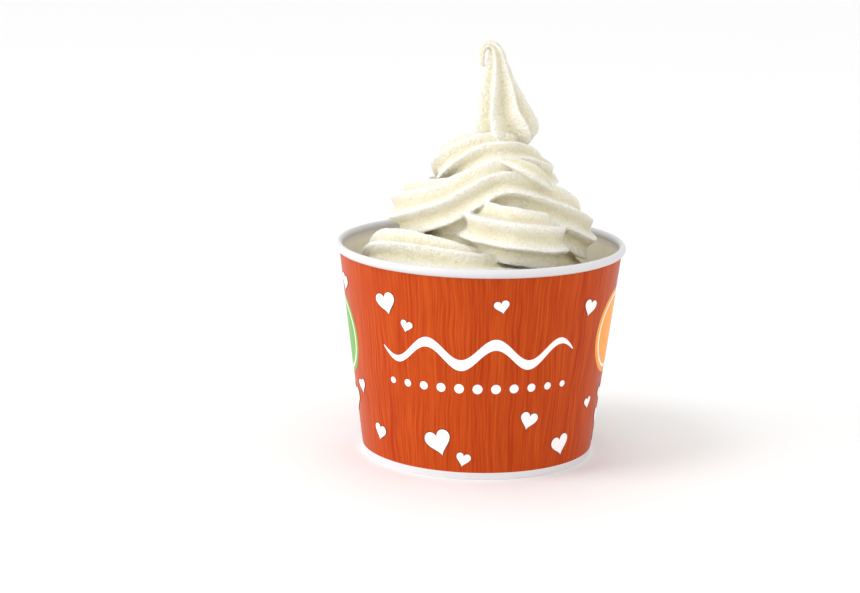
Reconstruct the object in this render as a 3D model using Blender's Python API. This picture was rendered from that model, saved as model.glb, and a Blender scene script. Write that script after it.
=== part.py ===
"""Frozen yogurt cup: a paper cup filled with plain frozen yogurt that is piped into a tall swirl.

Run with blender --background --python part.py, or from Blender's text editor. Units are metres,
+Z is up, and the origin is the centre of the cup's foot. The camera side of the swirl is -Y.
"""
import math

import bmesh
import bpy
import numpy as np

# Paper cup
CUP_HEIGHT = 0.0843
FOOT_RADIUS = 0.0453
RIM_RADIUS = 0.0570
WALL_TOP_HEIGHT = 0.0809
WALL_TOP_RADIUS = 0.05545
PAPER = 0.0006
CUP_SEGMENTS = 64

# Rolled rim: one turn of the wall's own paper, curled outwards and down
ROLL_WIDTH = 0.0026
ROLL_HEIGHT = 0.0033
ROLL_PAPER = 0.0005
ROLL_START = math.radians(210)
ROLL_END = math.radians(-90)
ROLL_STEPS = 10

# Foot: the wall is folded in and up, round the skirt of the bottom disc
HEM_HEIGHT = 0.0064
HEM_PAPER = 0.0005
SKIRT_PAPER = 0.0005
FOOT_CHAMFER = 0.00025
FIT_GAP = 0.0003
BOTTOM_HEIGHT = 0.0080
SKIRT_END_HEIGHT = 0.0010
SKIRT_BEND = 0.0007

# Frozen yogurt: a star nozzle leaves eight ridges along the rope
RIDGES = 8
VALLEY = 0.70
RIDGE_SOFTNESS = 0.10
RIDGE_POWER = 1.7
POINTS_PER_RIDGE = 4
ROPE_TWIST = math.radians(238)
ROPE_PHASE = math.radians(23)
ROPE_PHASE_TURN = 2.0
RING_STEP = 0.0053
RINGS_A_PIECE = 12
TENON = 0.75
BEND_SHARE = 0.70

# The rope's middle line: turn, x, y, z, radius. A whole turn is at the left, and a quarter at the front
ROPE_STATIONS = (
    (0.55, 0.0370, 0.0120, 0.0580, 0.0120),
    (0.75, 0.0000, 0.0390, 0.0640, 0.0120),
    (0.92, -0.0340, 0.0150, 0.0690, 0.0120),
    (1.00, -0.0358, -0.0030, 0.0768, 0.0120),
    (1.10, -0.0295, -0.0200, 0.0812, 0.0120),
    (1.25, 0.0000, -0.0365, 0.0765, 0.0120),
    (1.50, 0.0335, -0.0020, 0.0660, 0.0115),
    (1.75, 0.0040, 0.0310, 0.0800, 0.0110),
    (2.00, -0.0250, 0.0020, 0.0952, 0.0124),
    (2.12, -0.0122, -0.0160, 0.1003, 0.0123),
    (2.25, 0.0078, -0.0183, 0.1113, 0.0112),
    (2.38, 0.0272, -0.0120, 0.0980, 0.0115),
    (2.50, 0.0345, 0.0010, 0.0865, 0.0120),
    (2.62, 0.0270, 0.0170, 0.0880, 0.0113),
    (2.75, 0.0080, 0.0250, 0.0970, 0.0105),
    (3.00, -0.0088, 0.0020, 0.1135, 0.0108),
    (3.25, 0.0080, -0.0105, 0.1187, 0.0100),
    (3.50, 0.0213, 0.0010, 0.1085, 0.0103),
    (3.60, 0.0165, 0.0085, 0.1110, 0.0085),
    (3.72, 0.0085, 0.0070, 0.1150, 0.0040),
)

# A fold of the same rope that doubles back at the front: part of its length, x, y, z, radius
FOLD_STATIONS = (
    (0.00, 0.0040, 0.0000, 0.0860, 0.0100),
    (0.20, 0.0010, -0.0140, 0.0920, 0.0114),
    (0.38, 0.0040, -0.0270, 0.0935, 0.0122),
    (0.52, 0.0125, -0.0340, 0.0943, 0.0123),
    (0.66, 0.0215, -0.0310, 0.0923, 0.0122),
    (0.80, 0.0245, -0.0210, 0.0890, 0.0120),
    (1.00, 0.0200, -0.0050, 0.0830, 0.0100),
)
FOLD_PHASE = math.radians(34)
FOLD_RING_STEP = 0.0052

# The peak that is left where the nozzle is pulled away, ending in a small hook to the left
PEAK_STATIONS = (
    (0.00, 0.0094, 0.0000, 0.1200, 0.0060),
    (0.07, 0.0094, 0.0000, 0.1243, 0.0098),
    (0.12, 0.0095, 0.0000, 0.1268, 0.0126),
    (0.18, 0.0095, 0.0000, 0.1300, 0.0138),
    (0.25, 0.0089, 0.0000, 0.1335, 0.0126),
    (0.35, 0.0077, 0.0000, 0.1380, 0.0102),
    (0.46, 0.0066, 0.0000, 0.1430, 0.0084),
    (0.58, 0.0058, 0.0000, 0.1480, 0.0067),
    (0.70, 0.0055, 0.0000, 0.1530, 0.0052),
    (0.80, 0.0047, 0.0000, 0.1575, 0.0039),
    (0.88, 0.0034, 0.0000, 0.1605, 0.0030),
    (0.93, 0.0017, -0.0003, 0.1613, 0.0024),
    (0.97, 0.0003, -0.0007, 0.1590, 0.0019),
    (1.00, 0.0002, -0.0009, 0.1553, 0.0015),
    (1.03, 0.0012, -0.0011, 0.1530, 0.0009),
)
PEAK_RIDGES = 6
PEAK_VALLEY = 0.64
PEAK_PHASES = tuple(math.radians(angle) for angle in (-22, -34, -27, -18))
PEAK_PHASE_PLACES = (0.0, 0.25, 0.6, 1.0)
PEAK_RING_STEP = 0.0024

# The yogurt below the rope fills the cup; radius and height of its outline above the wall contact
FILL_TOP = (
    (0.0519, 0.0660),
    (0.0470, 0.0700),
    (0.0360, 0.0740),
    (0.0220, 0.0900),
    (0.0120, 0.1040),
    (0.0105, 0.1150),
    (0.0060, 0.1240),
)
FILL_WALL_TOP = 0.0620
FILL_LEAN_START = 0.0760
FILL_LEAN = 0.20
FILL_SEGMENTS = 48
SMALLEST_EDGE = 0.00003


def clear_scene():
    """Remove whatever objects the open scene holds."""
    for obj in list(bpy.data.objects):
        bpy.data.objects.remove(obj)


def make_material(name, colour, roughness):
    """A plain finish: colour as linear red, green and blue, and roughness."""
    material = bpy.data.materials.new(name)
    material.use_nodes = True
    shader = material.node_tree.nodes["Principled BSDF"]
    shader.inputs["Base Color"].default_value = (*colour, 1.0)
    shader.inputs["Roughness"].default_value = roughness
    shader.inputs["Metallic"].default_value = 0.0
    return material


def add_object(name, mesh, material):
    """Link a mesh into the scene under its own name and finish."""
    mesh.materials.clear()
    mesh.materials.append(material)
    obj = bpy.data.objects.new(name, mesh)
    bpy.context.scene.collection.objects.link(obj)
    return obj


def wall_outer(height):
    """Outer radius of the cup's wall at a height."""
    slope = (WALL_TOP_RADIUS - FOOT_RADIUS) / WALL_TOP_HEIGHT
    return FOOT_RADIUS + slope * height


def turned_mesh(name, outline, closed):
    """Spin an outline of (radius, height) points round the cup's axis into a closed mesh."""
    bm = bmesh.new()
    verts = [bm.verts.new((radius, 0.0, height)) for radius, height in outline]
    edges = [bm.edges.new(pair) for pair in zip(verts, verts[1:])]
    if closed:
        edges.append(bm.edges.new((verts[-1], verts[0])))
    bmesh.ops.spin(bm, geom=verts + edges, axis=(0, 0, 1), cent=(0, 0, 0), angle=math.tau,
                   steps=CUP_SEGMENTS, use_merge=True, use_duplicate=False)
    bmesh.ops.remove_doubles(bm, verts=bm.verts, dist=SMALLEST_EDGE)
    bmesh.ops.recalc_face_normals(bm, faces=bm.faces)
    mesh = bpy.data.meshes.new(name)
    bm.to_mesh(mesh)
    bm.free()
    mesh.shade_smooth()
    mesh.set_sharp_from_angle(angle=math.radians(35))
    return mesh


def roll_outline():
    """Both faces of the curled paper at the rim, from the wall's outside round to its inside."""
    centre_radius = RIM_RADIUS - ROLL_WIDTH / 2
    centre_height = CUP_HEIGHT - ROLL_HEIGHT / 2
    outside = []
    inside = []
    for step in range(ROLL_STEPS + 1):
        angle = ROLL_START + (ROLL_END - ROLL_START) * step / ROLL_STEPS
        for face, inset in ((outside, 0.0), (inside, ROLL_PAPER)):
            radius = centre_radius + (ROLL_WIDTH / 2 - inset) * math.cos(angle)
            height = centre_height + (ROLL_HEIGHT / 2 - inset) * math.sin(angle)
            face.append((radius, height))
    return inside + outside[::-1]


def build_wall(material):
    """Side wall with its rolled rim and the hem that is folded up inside the foot."""
    slot = SKIRT_PAPER + 2 * FIT_GAP
    hem_face = PAPER + slot
    hem_back = hem_face + HEM_PAPER
    outline = [
        (wall_outer(WALL_TOP_HEIGHT), WALL_TOP_HEIGHT),
        *roll_outline(),
        (wall_outer(WALL_TOP_HEIGHT) - PAPER, WALL_TOP_HEIGHT),
        (wall_outer(PAPER) - PAPER, PAPER),
        (wall_outer(PAPER) - hem_face, PAPER),
        (wall_outer(HEM_HEIGHT) - hem_face, HEM_HEIGHT),
        (wall_outer(HEM_HEIGHT) - hem_back, HEM_HEIGHT),
        (FOOT_RADIUS - hem_back, FOOT_CHAMFER),
        (FOOT_RADIUS - hem_back + FOOT_CHAMFER, 0.0),
        (FOOT_RADIUS - FOOT_CHAMFER, 0.0),
        (FOOT_RADIUS, FOOT_CHAMFER),
    ]
    return add_object("cup_wall", turned_mesh("cup_wall", outline, closed=True), material)


def build_base(material):
    """Bottom disc, raised above the table, with its skirt in the fold of the foot."""
    face = PAPER + FIT_GAP
    under = BOTTOM_HEIGHT - PAPER
    outline = [
        (0.0, BOTTOM_HEIGHT),
        (wall_outer(BOTTOM_HEIGHT) - face - SKIRT_BEND, BOTTOM_HEIGHT),
        (wall_outer(BOTTOM_HEIGHT - SKIRT_BEND) - face, BOTTOM_HEIGHT - SKIRT_BEND),
        (wall_outer(SKIRT_END_HEIGHT) - face, SKIRT_END_HEIGHT),
        (wall_outer(SKIRT_END_HEIGHT) - face - SKIRT_PAPER, SKIRT_END_HEIGHT),
        (wall_outer(under) - face - SKIRT_PAPER, under),
        (0.0, under),
    ]
    return add_object("cup_base", turned_mesh("cup_base", outline, closed=False), material)


def smooth_values(stations, places):
    """Read a table of stations at the given places along smooth curves through them."""
    table = np.array(stations)
    keys = table[:, 0]
    values = table[:, 1:]
    slopes = np.zeros_like(values)
    slopes[1:-1] = (values[2:] - values[:-2]) / (keys[2:] - keys[:-2])[:, None]
    slopes[0] = (values[1] - values[0]) / (keys[1] - keys[0])
    slopes[-1] = (values[-1] - values[-2]) / (keys[-1] - keys[-2])
    index = np.clip(np.searchsorted(keys, places, side="right") - 1, 0, len(keys) - 2)
    span = (keys[index + 1] - keys[index])[:, None]
    part = (places - keys[index])[:, None] / span
    start = (2 * part**3 - 3 * part**2 + 1) * values[index]
    start_slope = (part**3 - 2 * part**2 + part) * span * slopes[index]
    end = (3 * part**2 - 2 * part**3) * values[index + 1]
    end_slope = (part**3 - part**2) * span * slopes[index + 1]
    return start + start_slope + end + end_slope


def even_places(stations, step):
    """Places along a table of stations that lie an even distance apart on its middle line."""
    fine = np.linspace(stations[0][0], stations[-1][0], 2000)
    points = smooth_values(stations, fine)[:, :3]
    gaps = np.linalg.norm(np.diff(points, axis=0), axis=1)
    length = np.concatenate(([0.0], np.cumsum(gaps)))
    count = max(2, round(length[-1] / step) + 1)
    return np.interp(np.linspace(0.0, length[-1], count), length, fine)


def star_outline(ridges, valley):
    """Angles round the rope and the share of its radius there: soft ridges and round valleys."""
    angles = np.linspace(0.0, math.tau, ridges * POINTS_PER_RIDGE, endpoint=False)
    rise = np.abs(2 * ((angles * ridges / math.tau) % 1.0) - 1)
    crest = np.sqrt(1 + RIDGE_SOFTNESS**2) - np.sqrt((1 - rise) ** 2 + RIDGE_SOFTNESS**2)
    return angles, valley + (1 - valley) * np.clip(crest, 0.0, 1.0) ** RIDGE_POWER


def squeezed(spokes, bend):
    """Spokes of one ring, with those on the inside of a tight bend kept short of its centre."""
    sharpness = np.linalg.norm(bend)
    inward = bend / sharpness
    over = np.maximum(spokes @ inward - BEND_SHARE / sharpness, 0.0)
    return spokes - np.outer(over, inward)


def tube_rings(middle, radii, frames, phases, ridges, valley):
    """The star outline carried along a middle line: one ring of points at each place."""
    angles, share = star_outline(ridges, valley)
    along = directions(middle)
    steps = np.linalg.norm(np.gradient(middle, axis=0), axis=1)
    bends = np.gradient(along, axis=0) / steps[:, None] + 1e-9
    rings = []
    for centre, radius, across, up, phase, bend in zip(middle, radii, *frames, phases, bends):
        spokes = np.outer(np.cos(angles + phase), across) + np.outer(np.sin(angles + phase), up)
        rings.append(centre + squeezed(spokes * (radius * share)[:, None], bend))
    return rings


def tube_piece(name, rings):
    """Skin a run of rings into a closed tube whose ends are closed by fans."""
    bm = bmesh.new()
    rows = [[bm.verts.new(point) for point in ring] for ring in rings]
    count = len(rings[0])
    for row, following in zip(rows, rows[1:]):
        for i in range(count):
            k = (i + 1) % count
            bm.faces.new((row[i], row[k], following[k], following[i]))
    for row, ring in ((rows[0], rings[0]), (rows[-1], rings[-1])):
        hub = bm.verts.new(ring.mean(axis=0))
        for i in range(count):
            bm.faces.new((row[i], row[(i + 1) % count], hub))
    bmesh.ops.recalc_face_normals(bm, faces=bm.faces)
    mesh = bpy.data.meshes.new(name)
    bm.to_mesh(mesh)
    bm.free()
    return mesh


def tube_pieces(name, rings):
    """Cut a long tube into short pieces, each with a narrow tenon that reaches into the next."""
    pieces = []
    for first in range(0, len(rings) - 1, RINGS_A_PIECE):
        last = min(first + RINGS_A_PIECE, len(rings) - 1)
        run = list(rings[first:last + 1])
        if last + 1 < len(rings):
            hub = rings[last + 1].mean(axis=0)
            run.append(hub + TENON * (rings[last + 1] - hub))
        pieces.append(tube_piece(name, run))
    return pieces


def directions(middle):
    """Unit directions along a middle line."""
    along = np.gradient(middle, axis=0)
    return along / np.linalg.norm(along, axis=1)[:, None]


def coil_frames(middle):
    """Directions away from the coil's axis and up, square to the middle line."""
    along = directions(middle)
    side = np.cross(along, (0.0, 0.0, 1.0))
    side /= np.linalg.norm(side, axis=1)[:, None]
    return side, np.cross(side, along)


def peak_frames(middle):
    """Directions to the front and to the right, square to the peak's middle line."""
    along = directions(middle)
    front = np.array((0.0, -1.0, 0.0))
    side = front - along * (along @ front)[:, None]
    side /= np.linalg.norm(side, axis=1)[:, None]
    return side, np.cross(along, side)


def rope_pieces():
    """The coiled rope, whose ridges turn slowly round it as it is laid down."""
    places = even_places(ROPE_STATIONS, RING_STEP)
    values = smooth_values(ROPE_STATIONS, places)
    frames = coil_frames(values[:, :3])
    phases = ROPE_PHASE + ROPE_TWIST * (places - ROPE_PHASE_TURN)
    rings = tube_rings(values[:, :3], values[:, 3], frames, phases, RIDGES, VALLEY)
    return tube_pieces("rope", rings)


def fold_pieces():
    """The fold of rope that doubles back at the front."""
    places = even_places(FOLD_STATIONS, FOLD_RING_STEP)
    values = smooth_values(FOLD_STATIONS, places)
    frames = coil_frames(values[:, :3])
    phases = np.full(len(places), FOLD_PHASE)
    rings = tube_rings(values[:, :3], values[:, 3], frames, phases, RIDGES, VALLEY)
    return tube_pieces("fold", rings)


def peak_pieces():
    """The tapering peak with its hooked tip."""
    places = even_places(PEAK_STATIONS, PEAK_RING_STEP)
    values = smooth_values(PEAK_STATIONS, places)
    frames = peak_frames(values[:, :3])
    phases = np.interp(places, PEAK_PHASE_PLACES, PEAK_PHASES)
    rings = tube_rings(values[:, :3], values[:, 3], frames, phases, PEAK_RIDGES, PEAK_VALLEY)
    return tube_pieces("peak", rings)


def fill_mesh():
    """The yogurt that fills the cup, out to the wall and up into the heart of the swirl."""
    gap = PAPER + FIT_GAP
    floor = BOTTOM_HEIGHT + FIT_GAP
    outline = [
        (wall_outer(floor) - gap - SKIRT_BEND, floor),
        (wall_outer(FILL_WALL_TOP) - gap - FIT_GAP, FILL_WALL_TOP),
        *FILL_TOP,
    ]
    bm = bmesh.new()
    rows = []
    for radius, height in outline:
        lean = FILL_LEAN * max(0.0, height - FILL_LEAN_START)
        row = []
        for i in range(FILL_SEGMENTS):
            angle = math.tau * i / FILL_SEGMENTS
            row.append(bm.verts.new((radius * math.cos(angle) + lean, radius * math.sin(angle), height)))
        rows.append(row)
    for row, following in zip(rows, rows[1:]):
        for i in range(FILL_SEGMENTS):
            k = (i + 1) % FILL_SEGMENTS
            bm.faces.new((row[i], row[k], following[k], following[i]))
    bm.faces.new(rows[0][::-1])
    bm.faces.new(rows[-1])
    bmesh.ops.recalc_face_normals(bm, faces=bm.faces)
    mesh = bpy.data.meshes.new("fill")
    bm.to_mesh(mesh)
    bm.free()
    return mesh


def keep_outer_shell(mesh):
    """Drop loose scraps and the shells of sealed hollows: only the largest shell stays."""
    bm = bmesh.new()
    bm.from_mesh(mesh)
    bmesh.ops.remove_doubles(bm, verts=bm.verts, dist=SMALLEST_EDGE)
    bmesh.ops.dissolve_degenerate(bm, edges=bm.edges, dist=SMALLEST_EDGE)
    unseen = set(bm.verts)
    shells = []
    while unseen:
        stack = [next(iter(unseen))]
        shell = set(stack)
        while stack:
            for edge in stack.pop().link_edges:
                fresh = [vert for vert in edge.verts if vert not in shell]
                shell.update(fresh)
                stack.extend(fresh)
        unseen -= shell
        shells.append(shell)
    shells.sort(key=len)
    loose = [vert for shell in shells[:-1] for vert in shell]
    bmesh.ops.delete(bm, geom=loose, context="VERTS")
    bmesh.ops.triangulate(bm, faces=bm.faces)
    bm.to_mesh(mesh)
    bm.free()


def build_yogurt(material):
    """Join the filling, the coiled rope, its fold and the peak into one solid."""
    yogurt = add_object("yogurt_swirl", fill_mesh(), material)
    pieces = bpy.data.collections.new("swirl_pieces")
    bpy.context.scene.collection.children.link(pieces)
    for mesh in rope_pieces() + fold_pieces() + peak_pieces():
        pieces.objects.link(bpy.data.objects.new(mesh.name, mesh))
    union = yogurt.modifiers.new("join", "BOOLEAN")
    union.operation = "UNION"
    union.operand_type = "COLLECTION"
    union.collection = pieces
    union.solver = "MANIFOLD"
    bpy.context.view_layer.objects.active = yogurt
    yogurt.select_set(True)
    bpy.ops.object.modifier_apply(modifier=union.name)
    for obj in list(pieces.objects):
        bpy.data.objects.remove(obj)
    bpy.data.collections.remove(pieces)
    keep_outer_shell(yogurt.data)
    yogurt.data.materials.clear()
    yogurt.data.materials.append(material)
    yogurt.data.shade_smooth()
    yogurt.data.set_sharp_from_angle(angle=math.radians(40))
    return yogurt


def main():
    """Build the cup's two paper parts and the yogurt that it holds."""
    clear_scene()
    printed_paper = make_material("printed_paper", (0.68, 0.11, 0.035), 0.45)
    plain_paper = make_material("plain_paper", (0.83, 0.82, 0.84), 0.55)
    frozen_yogurt = make_material("frozen_yogurt", (0.90, 0.86, 0.68), 0.55)
    build_wall(printed_paper)
    build_base(plain_paper)
    build_yogurt(frozen_yogurt)


main()
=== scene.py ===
# %% [markdown]
# # Frozen yogurt cup
# A tapered paper cup holds plain frozen yogurt, piped high above the rim in a ridged swirl. The CAD parts
# set the true sizes and places. This script makes the look: the piped rope, the curled paper, the print,
# and how each of them takes the light. Lengths are metres, +Z is up and -Y faces the viewer.

# %% Open the frame
import math
import random

import bmesh
import bpy
import numpy as np
from mathutils import Matrix, Vector


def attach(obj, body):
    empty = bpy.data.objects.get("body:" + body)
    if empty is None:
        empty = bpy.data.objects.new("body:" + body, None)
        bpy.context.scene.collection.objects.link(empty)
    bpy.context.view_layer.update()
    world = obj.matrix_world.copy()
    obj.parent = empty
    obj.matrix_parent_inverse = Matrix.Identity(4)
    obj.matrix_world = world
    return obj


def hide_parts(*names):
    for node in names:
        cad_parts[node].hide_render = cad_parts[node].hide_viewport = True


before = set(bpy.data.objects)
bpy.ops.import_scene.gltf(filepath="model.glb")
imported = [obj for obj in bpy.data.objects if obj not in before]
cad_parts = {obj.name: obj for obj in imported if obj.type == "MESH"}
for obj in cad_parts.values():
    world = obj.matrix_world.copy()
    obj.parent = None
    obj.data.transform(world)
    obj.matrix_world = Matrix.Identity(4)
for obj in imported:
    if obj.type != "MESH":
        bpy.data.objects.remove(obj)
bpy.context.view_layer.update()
print("nodes:", sorted(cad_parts))

# %% [markdown]
# ## Small tools
# Colours are written as they look on a screen, and one function turns them into light values. Every node is
# added by one function too. It fills the node's inputs in order or by name: a socket or another node is
# linked, and anything else is set as a plain value. The kinds of node that come up often have short names.

# %% Colours and nodes
MATH = "ShaderNodeMath"
VECTOR = "ShaderNodeVectorMath"
SPLIT = "ShaderNodeSeparateXYZ"
JOIN = "ShaderNodeCombineXYZ"
NOISE = "ShaderNodeTexNoise"
STRETCH = "ShaderNodeMapRange"
MIX = "ShaderNodeMix"
PLACE = "GeometryNodeInputPosition"
ATTRIBUTE = "GeometryNodeInputNamedAttribute"
STORE = "GeometryNodeStoreNamedAttribute"
MOVE = "GeometryNodeSetPosition"


def linear(code):
    """Turn a screen colour such as #F5F1DF into the light values that a shader works with."""
    parts = [int(code[i:i + 2], 16) / 255 for i in (1, 3, 5)]
    return (*[c / 12.92 if c <= 0.04045 else ((c + 0.055) / 1.055) ** 2.4 for c in parts], 1.0)


def fill(tree, node, inputs):
    """Link or set a node's inputs, in order or by name; another node stands for its first output."""
    for key, value in inputs.items() if isinstance(inputs, dict) else enumerate(inputs):
        if isinstance(value, bpy.types.Node):
            value = value.outputs[0]
        if isinstance(value, bpy.types.NodeSocket):
            tree.links.new(value, node.inputs[key])
        else:
            node.inputs[key].default_value = value
    return node


def add(tree, kind, inputs=(), **settings):
    """Add a node, give it its settings, and fill its inputs."""
    node = tree.nodes.new(kind)
    for name, value in settings.items():
        setattr(node, name, value)
    return fill(tree, node, inputs)


print("cream as light values:", [round(c, 3) for c in linear("#F5F1DF")[:3]])

# %% [markdown]
# Shapes that follow a rule are grown by geometry trees. A tree is started with its named inputs, run on an
# object that carries its points and their values, and ends in a plain mesh with its material.

# %% Start and end a tree


def new_tree(name, **kinds):
    """Start a geometry tree with a Geometry input, the named inputs and a Geometry output."""
    tree = bpy.data.node_groups.new(name, "GeometryNodeTree")
    tree.interface.new_socket("Geometry", in_out="INPUT", socket_type="NodeSocketGeometry")
    for key, kind in kinds.items():
        tree.interface.new_socket(key.replace("_", " "), in_out="INPUT", socket_type="NodeSocket" + kind)
    tree.interface.new_socket("Geometry", in_out="OUTPUT", socket_type="NodeSocketGeometry")
    return tree, tree.nodes.new("NodeGroupInput").outputs


def close_tree(tree, geometry, material):
    """End a tree: realize instances, give the material, and send the result out."""
    real = add(tree, "GeometryNodeRealizeInstances", {"Geometry": geometry})
    done = add(tree, "GeometryNodeSetMaterial", {"Geometry": real, "Material": material})
    add(tree, "NodeGroupOutput", {"Geometry": done})
    print("tree:", tree.name, "with", len(tree.nodes), "nodes")
    return tree


# %% Run a tree


def grow(obj, tree, **values):
    """Run a geometry tree on an object and keep the result as its plain mesh."""
    modifier = obj.modifiers.new(tree.name, "NODES")
    modifier.node_group = tree
    names = {item.name: item.identifier for item in tree.interface.items_tree if item.in_out == "INPUT"}
    for key, value in values.items():
        modifier[names[key.replace("_", " ")]] = value
    evaluated = obj.evaluated_get(bpy.context.evaluated_depsgraph_get())
    mesh = bpy.data.meshes.new_from_object(evaluated)
    obj.modifiers.remove(modifier)
    old = obj.data
    obj.data = mesh
    bpy.data.meshes.remove(old)
    mesh.name = obj.name
    print(obj.name, "faces:", len(mesh.polygons))
    return obj


def new_object(name, points, edges=(), faces=(), **values):
    """Make an object from points, with one attribute a point for each further list of values."""
    mesh = bpy.data.meshes.new(name)
    mesh.from_pydata([tuple(p) for p in points], list(edges), list(faces))
    for key, column in values.items():
        column = np.asarray(column, dtype=np.float32)
        kind = "FLOAT_VECTOR" if column.ndim == 2 else "FLOAT"
        field = "vector" if column.ndim == 2 else "value"
        mesh.attributes.new(key, kind, "POINT").data.foreach_set(field, column.ravel())
    obj = bpy.data.objects.new(name, mesh)
    bpy.context.scene.collection.objects.link(obj)
    return obj


# %% [markdown]
# ## Materials
# Frozen yogurt is a pale cream foam full of tiny ice crystals. Light goes a few millimetres into it and
# comes out warmer, so hollows look yellowish and edges never look hard. The colour adds painted light to
# this: a painted highlight whitens the crests, and the grooves keep a deeper cream as painted shade. The
# crystals make a fine grain. A picture of real yogurt would carry its own light, so the colour is built from
# noise at real sizes instead.

# %% Frozen yogurt
CLOUD_SCALE = 90.0
GRAIN_SCALE = 1200.0
LUMP_SCALE = 520.0
GRAIN_RELIEF = 0.0013
SPECK_STRENGTH = 0.29


def new_material(name):
    """An empty material with its tree and its main shader."""
    material = bpy.data.materials.new(name)
    material.use_nodes = True
    return material, material.node_tree, material.node_tree.nodes["Principled BSDF"]


def paint(tree, first, coats):
    """Lay further colours over the first, each as strongly as its factor says."""
    colour = linear(first)
    for factor, code in coats:
        colour = add(tree, MIX, {0: factor, 6: colour, 7: linear(code)}, data_type="RGBA").outputs[2]
    return colour


def make_yogurt():
    """Frozen yogurt, freshly piped: cream foam with a painted highlight on its crests, dull, with a fine icy
    grain.

    Clouds of a deeper cream are about 11 mm wide. The ice shows as grains just under 1 mm and lumps of 2 mm.
    """
    material, tree, shader = new_material("frozen yogurt, freshly piped")
    place = add(tree, "ShaderNodeTexCoord").outputs["Object"]
    clouds = add(tree, NOISE, {"Vector": place, "Scale": CLOUD_SCALE})
    grain = add(tree, NOISE, {"Vector": place, "Scale": GRAIN_SCALE, "Detail": 3.0, "Roughness": 0.65})
    lumps = add(tree, NOISE, {"Vector": place, "Scale": LUMP_SCALE})
    crest = add(tree, "ShaderNodeAttribute", attribute_name="crest").outputs["Fac"]
    specks = add(tree, STRETCH, (grain, 0.40, 0.62))
    pits = add(tree, MATH, (specks, -SPECK_STRENGTH, SPECK_STRENGTH), operation="MULTIPLY_ADD")
    # Painted highlight and shade: the crests are painted near white and the grooves keep the deeper cream.
    colour = paint(tree, "#F0EAD2", ((add(tree, STRETCH, (clouds, 0.3, 0.7)), "#E8E1C3"),
                                     (add(tree, STRETCH, (crest, 0.05, 0.85)), "#FFFEFB"),
                                     (pits, "#D6CBA6")))
    relief = add(tree, MATH, (grain, lumps), operation="ADD")
    bump = add(tree, "ShaderNodeBump", {"Strength": 1.0, "Distance": GRAIN_RELIEF, "Height": relief})
    fill(tree, shader, {"Base Color": colour, "Normal": bump, "Roughness": 0.62, "Specular IOR Level": 0.25,
                        "Subsurface Weight": 0.3, "Subsurface Radius": (1.0, 0.8, 0.45),
                        "Subsurface Scale": 0.0014})
    return material


yogurt_finish = make_yogurt()
print("material:", yogurt_finish.name)

# %% [markdown]
# The cup is pale board with a thin coat of plastic on both faces, so it has a soft satin shine. Its colour
# holds painted light: the near-white board is tinted a little warm, which stands for the yogurt's bounce
# light on the wall's inside, and the rolled rim and the foot are painted a cooler grey as painted shade.

# %% White board
RIM_PAINTED_SHADE_BAND = (0.0785, 0.0815)
FOOT_PAINTED_SHADE_BAND = (0.0045, 0.0035)


def make_board():
    """White cup board with its thin coat: nearly white, tinted a little warm as painted bounce light, satin,
    with painted shade that greys the rolled rim and the foot.

    Its fibres show as faint flecks about 4 mm long.
    """
    material, tree, shader = new_material("cup board, white, coated")
    place = add(tree, "ShaderNodeTexCoord").outputs["Object"]
    rise = add(tree, SPLIT, (place,)).outputs[2]
    fibres = add(tree, NOISE, {"Vector": place, "Scale": 260.0, "Detail": 3.0})
    # Painted light: the warm tint of the base is painted bounce light, and the rim and foot bands are painted
    # shade.
    colour = paint(tree, "#FAF4E8", ((add(tree, STRETCH, (fibres, 0.35, 0.7)), "#F5EEE1"),
                                     (add(tree, STRETCH, (rise, *RIM_PAINTED_SHADE_BAND)), "#CECDD1"),
                                     (add(tree, STRETCH, (rise, *FOOT_PAINTED_SHADE_BAND)), "#E2E1E4")))
    fill(tree, shader, {"Base Color": colour, "Roughness": 0.38, "Subsurface Weight": 0.0})
    return material


board_finish = make_board()
print("material:", board_finish.name)

# %% [markdown]
# The outside is printed orange-red with a wood grain, which runs up the wall in thin wavy streaks. A print
# follows the sheet and not space, so the pattern is read on the wall laid flat: arc length and height. The
# noise is pressed together along the height, which draws it out into streaks.

# %% Printed ground and inks
FOOT_RADIUS = 0.0453
WALL_TOP_HEIGHT = 0.0809
WALL_TOP_RADIUS = 0.05545
WALL_SLOPE = (WALL_TOP_RADIUS - FOOT_RADIUS) / WALL_TOP_HEIGHT
MIDDLE_RADIUS = (FOOT_RADIUS + WALL_TOP_RADIUS) / 2
STREAK_STRETCH = 0.022
WAVE_SCALE = 45.0
WAVE_REACH = 0.004
# Each streak: its scale, detail and roughness, the two ends of its stretch, its strength and its colour.
STREAKS = (
    (1300.0, 3.0, 0.6, 0.38, 0.66, 1.00, "#BE4D18"),
    (150.0, 2.0, 0.5, 0.30, 0.70, 0.40, "#C4561D"),
    (2300.0, 1.0, 0.5, 0.60, 0.70, 0.55, "#A52F08"),
)
PRINT_COAT = {"Roughness": 0.34, "Specular IOR Level": 0.07}


def wall_places(tree):
    """Two places on the wall for a pattern: the arc length round the cup, and the height."""
    place = add(tree, "ShaderNodeTexCoord").outputs["Object"]
    parts = add(tree, SPLIT, (place,)).outputs
    front = add(tree, MATH, (parts[1], -1.0), operation="MULTIPLY")
    turn = add(tree, MATH, (parts[0], front), operation="ARCTAN2")
    return add(tree, MATH, (turn, MIDDLE_RADIUS), operation="MULTIPLY"), parts[2]


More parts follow.
